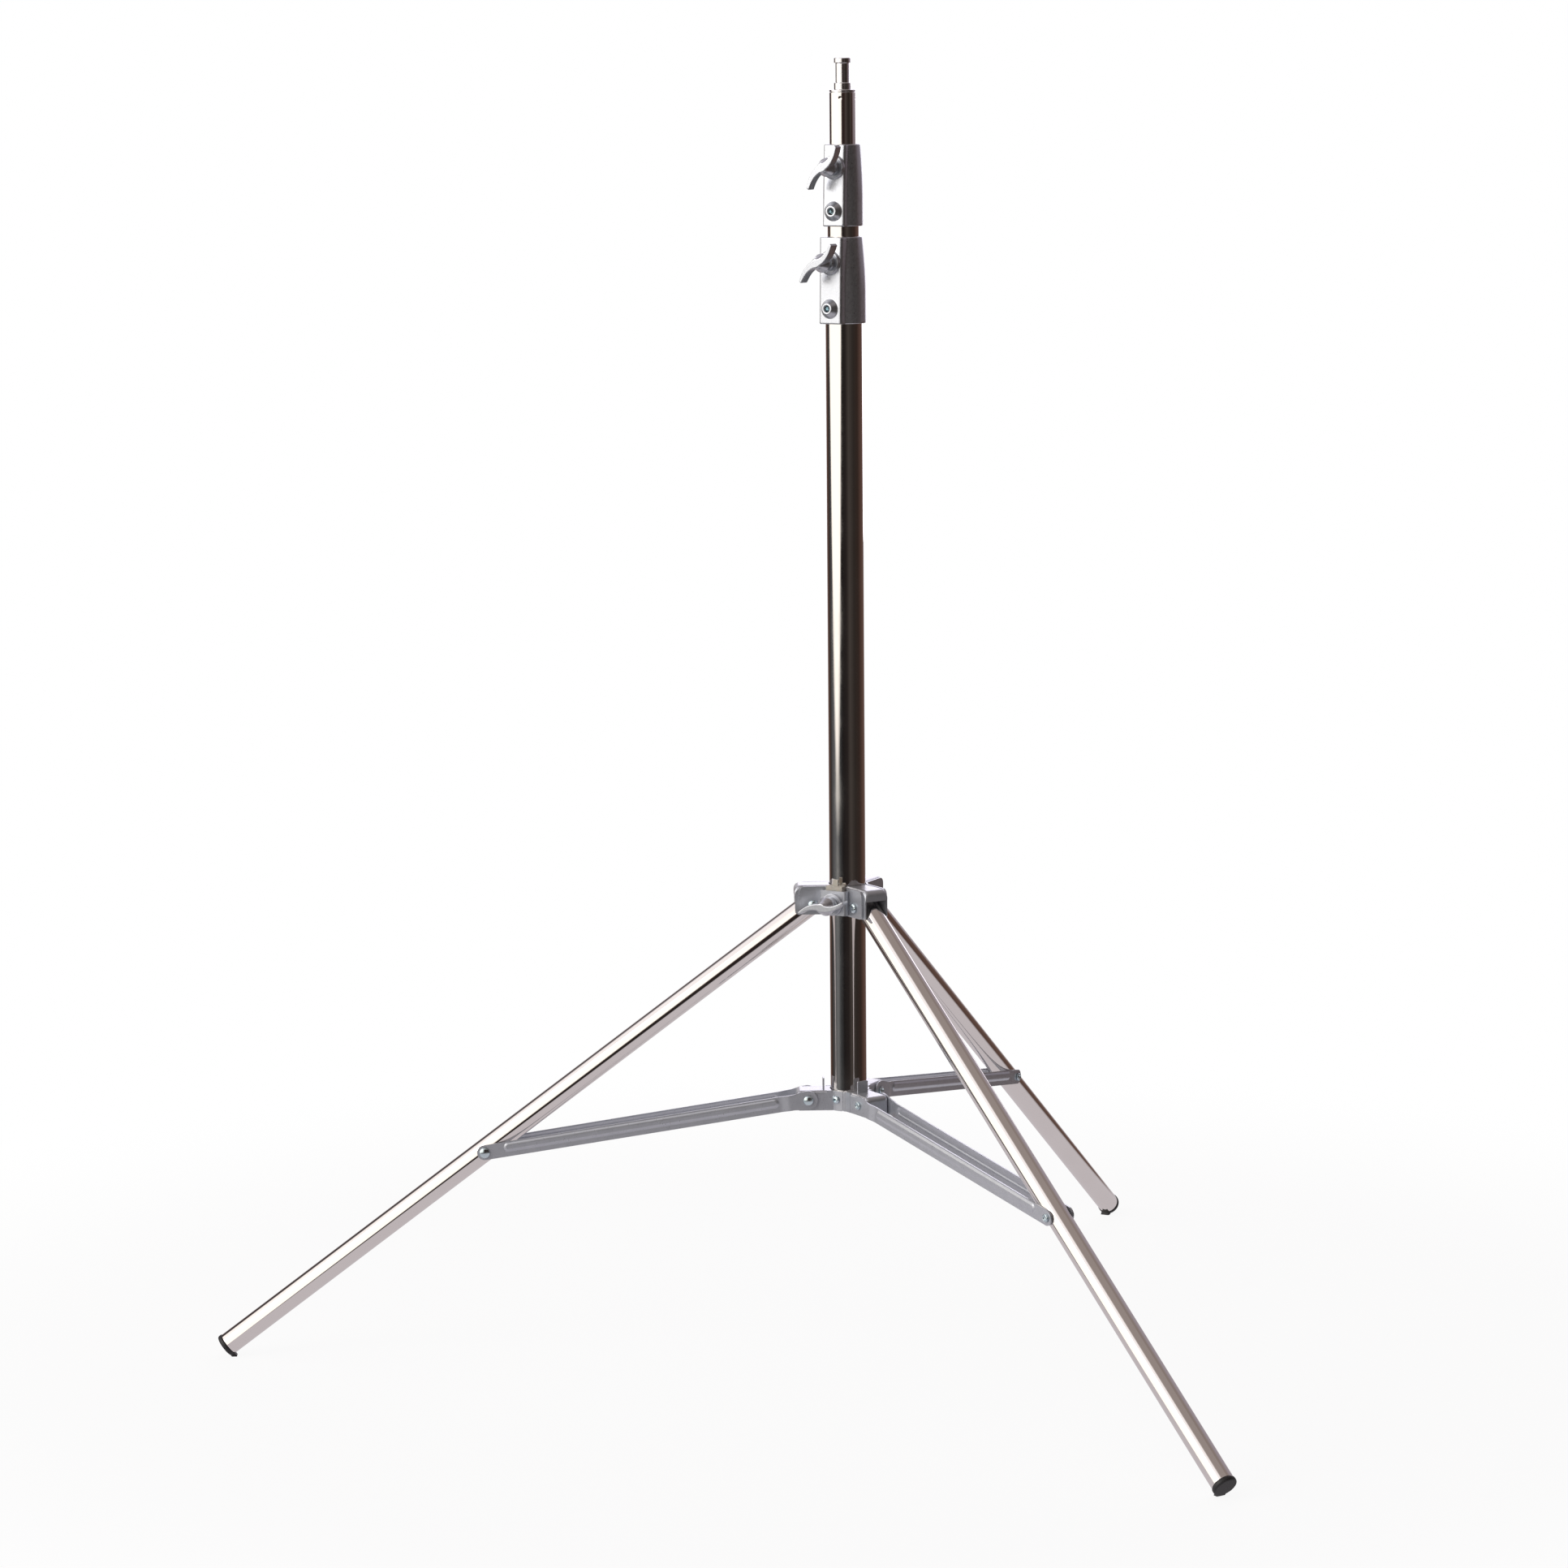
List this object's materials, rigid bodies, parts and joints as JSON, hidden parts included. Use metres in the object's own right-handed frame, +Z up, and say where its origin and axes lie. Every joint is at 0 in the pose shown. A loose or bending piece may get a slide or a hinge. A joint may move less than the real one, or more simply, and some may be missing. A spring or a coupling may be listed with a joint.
{
  "type": "telescopic lighting stand",
  "caption": "Telescopic lighting stand: lever-clamped steel risers on a folding, braced tripod base, with a standard spigot on top for a lamp head.",
  "frame": {"origin": "on the floor, in the middle of the stand's footprint (its bounding box at rest); the column stands 150.9 mm in front of it, towards -Y", "axes": "+Z up along the column; +Y towards the rear leg; -Y towards the side with the clamp levers; +X to the right of someone who faces the levers"},
  "size_m": [1.0764, 0.9354, 1.2519],
  "materials": {
    "polished_steel": "mirror-polished stainless tube",
    "cast_alloy": "fine satin silver paint on a die casting",
    "pressed_steel": "semi-gloss silver-grey paint on pressed steel",
    "zinc_plated_steel": "bright zinc plate",
    "spigot_steel": "bright nickel-chrome plate",
    "foot_plastic": "moulded black plastic",
    "nylon": "moulded beige-grey nylon"
  },
  "bodies": {
    "base": {"outer_tube": "polished_steel", "outer_collar": "cast_alloy", "outer_bush": "nylon", "outer_clamp_shoe": "nylon", "outer_set_screw": "zinc_plated_steel", "base_bracket_rear": "pressed_steel", "base_screw_rear": "zinc_plated_steel", "brace_pivot_rear": "zinc_plated_steel", "base_bracket_left": "pressed_steel", "base_screw_left": "zinc_plated_steel", "brace_pivot_left": "zinc_plated_steel", "base_bracket_right": "pressed_steel", "base_screw_right": "zinc_plated_steel", "brace_pivot_right": "zinc_plated_steel"},
    "middle_riser": {"middle_tube": "polished_steel", "middle_guide": "nylon", "middle_collar": "cast_alloy", "middle_bush": "nylon", "middle_clamp_shoe": "nylon", "middle_set_screw": "zinc_plated_steel"},
    "top_riser": {"top_tube": "polished_steel", "top_guide": "nylon", "spigot": "spigot_steel"},
    "outer_clamp_lever": {"outer_lever": "cast_alloy", "outer_lever_stud": "zinc_plated_steel"},
    "middle_clamp_lever": {"middle_lever": "cast_alloy", "middle_lever_stud": "zinc_plated_steel"},
    "leg_collar": {"clamp_plate_rear_left": "pressed_steel", "clamp_plate_rear_right": "pressed_steel", "clamp_plate_front_left": "pressed_steel", "clamp_plate_front_right": "pressed_steel", "leg_clamp_bridge": "pressed_steel", "leg_clamp_shoe": "nylon", "leg_cover_rear": "pressed_steel", "leg_pivot_rear": "zinc_plated_steel", "leg_cover_left": "pressed_steel", "leg_pivot_left": "zinc_plated_steel", "leg_cover_right": "pressed_steel", "leg_pivot_right": "zinc_plated_steel"},
    "leg_clamp_lever": {"leg_lever": "cast_alloy", "leg_lever_stud": "zinc_plated_steel"},
    "leg_rear": {"leg_tube_rear": "polished_steel", "foot_cap_rear": "foot_plastic"},
    "brace_rear": {"brace_bar_rear_a": "pressed_steel", "brace_bar_rear_b": "pressed_steel", "brace_rivet_rear_a": "zinc_plated_steel", "brace_rivet_rear_b": "zinc_plated_steel"},
    "leg_left": {"leg_tube_left": "polished_steel", "foot_cap_left": "foot_plastic"},
    "brace_left": {"brace_bar_left_a": "pressed_steel", "brace_bar_left_b": "pressed_steel", "brace_rivet_left_a": "zinc_plated_steel", "brace_rivet_left_b": "zinc_plated_steel"},
    "leg_right": {"leg_tube_right": "polished_steel", "foot_cap_right": "foot_plastic"},
    "brace_right": {"brace_bar_right_a": "pressed_steel", "brace_bar_right_b": "pressed_steel", "brace_rivet_right_a": "zinc_plated_steel", "brace_rivet_right_b": "zinc_plated_steel"}
  },
  "joints": [
    {"name": "middle_riser_slide", "type": "slide", "parent": "base", "child": "middle_riser", "axis": [0, 0, 1], "range_m": [0, 0.72]},
    {"name": "top_riser_slide", "type": "slide", "parent": "middle_riser", "child": "top_riser", "axis": [0, 0, 1], "range_m": [0, 0.72]},
    {"name": "outer_lever_turn", "type": "hinge", "parent": "base", "child": "outer_clamp_lever", "pos_m": [-0.0047, -0.19562, 1.0604], "axis": [-0.1045, -0.9945, 0], "range_deg": [0, 270]},
    {"name": "middle_lever_turn", "type": "hinge", "parent": "middle_riser", "child": "middle_clamp_lever", "pos_m": [0, -0.19087, 1.15], "axis": [0, -1, 0], "range_deg": [0, 270]},
    {"name": "leg_collar_slide", "type": "slide", "parent": "base", "child": "leg_collar", "axis": [0, 0, 1], "range_m": [0, 0.526]},
    {"name": "leg_lever_turn", "type": "hinge", "parent": "leg_collar", "child": "leg_clamp_lever", "pos_m": [0, -0.20087, 0.445], "axis": [0, -1, 0], "range_deg": [0, 270]},
    {"name": "leg_rear_fold", "type": "hinge", "parent": "leg_collar", "child": "leg_rear", "pos_m": [0, -0.11687, 0.4425], "axis": [-1, 0, 0], "range_deg": [0, 50.56]},
    {"name": "leg_left_fold", "type": "hinge", "parent": "leg_collar", "child": "leg_left", "pos_m": [-0.02944, -0.16787, 0.4425], "axis": [0.5, -0.866, 0], "range_deg": [0, 50.56]},
    {"name": "leg_right_fold", "type": "hinge", "parent": "leg_collar", "child": "leg_right", "pos_m": [0.02944, -0.16787, 0.4425], "axis": [0.5, 0.866, 0], "range_deg": [0, 50.56]},
    {"name": "brace_rear_fold", "type": "hinge", "parent": "base", "child": "brace_rear", "pos_m": [0, -0.11087, 0.2495], "axis": [1, 0, 0], "range_deg": [0, 96.39]},
    {"name": "brace_left_fold", "type": "hinge", "parent": "base", "child": "brace_left", "pos_m": [-0.03464, -0.17087, 0.2495], "axis": [-0.5, 0.866, 0], "range_deg": [0, 96.39]},
    {"name": "brace_right_fold", "type": "hinge", "parent": "base", "child": "brace_right", "pos_m": [0.03464, -0.17087, 0.2495], "axis": [-0.5, -0.866, 0], "range_deg": [0, 96.39]}
  ],
  "couplings": [
    {"joint": "leg_rear_fold", "follows": "leg_collar_slide", "rad_per_m": 1.6776},
    {"joint": "leg_left_fold", "follows": "leg_collar_slide", "rad_per_m": 1.6776},
    {"joint": "leg_right_fold", "follows": "leg_collar_slide", "rad_per_m": 1.6776},
    {"joint": "brace_rear_fold", "follows": "leg_collar_slide", "rad_per_m": 3.198},
    {"joint": "brace_left_fold", "follows": "leg_collar_slide", "rad_per_m": 3.198},
    {"joint": "brace_right_fold", "follows": "leg_collar_slide", "rad_per_m": 3.198}
  ]
}
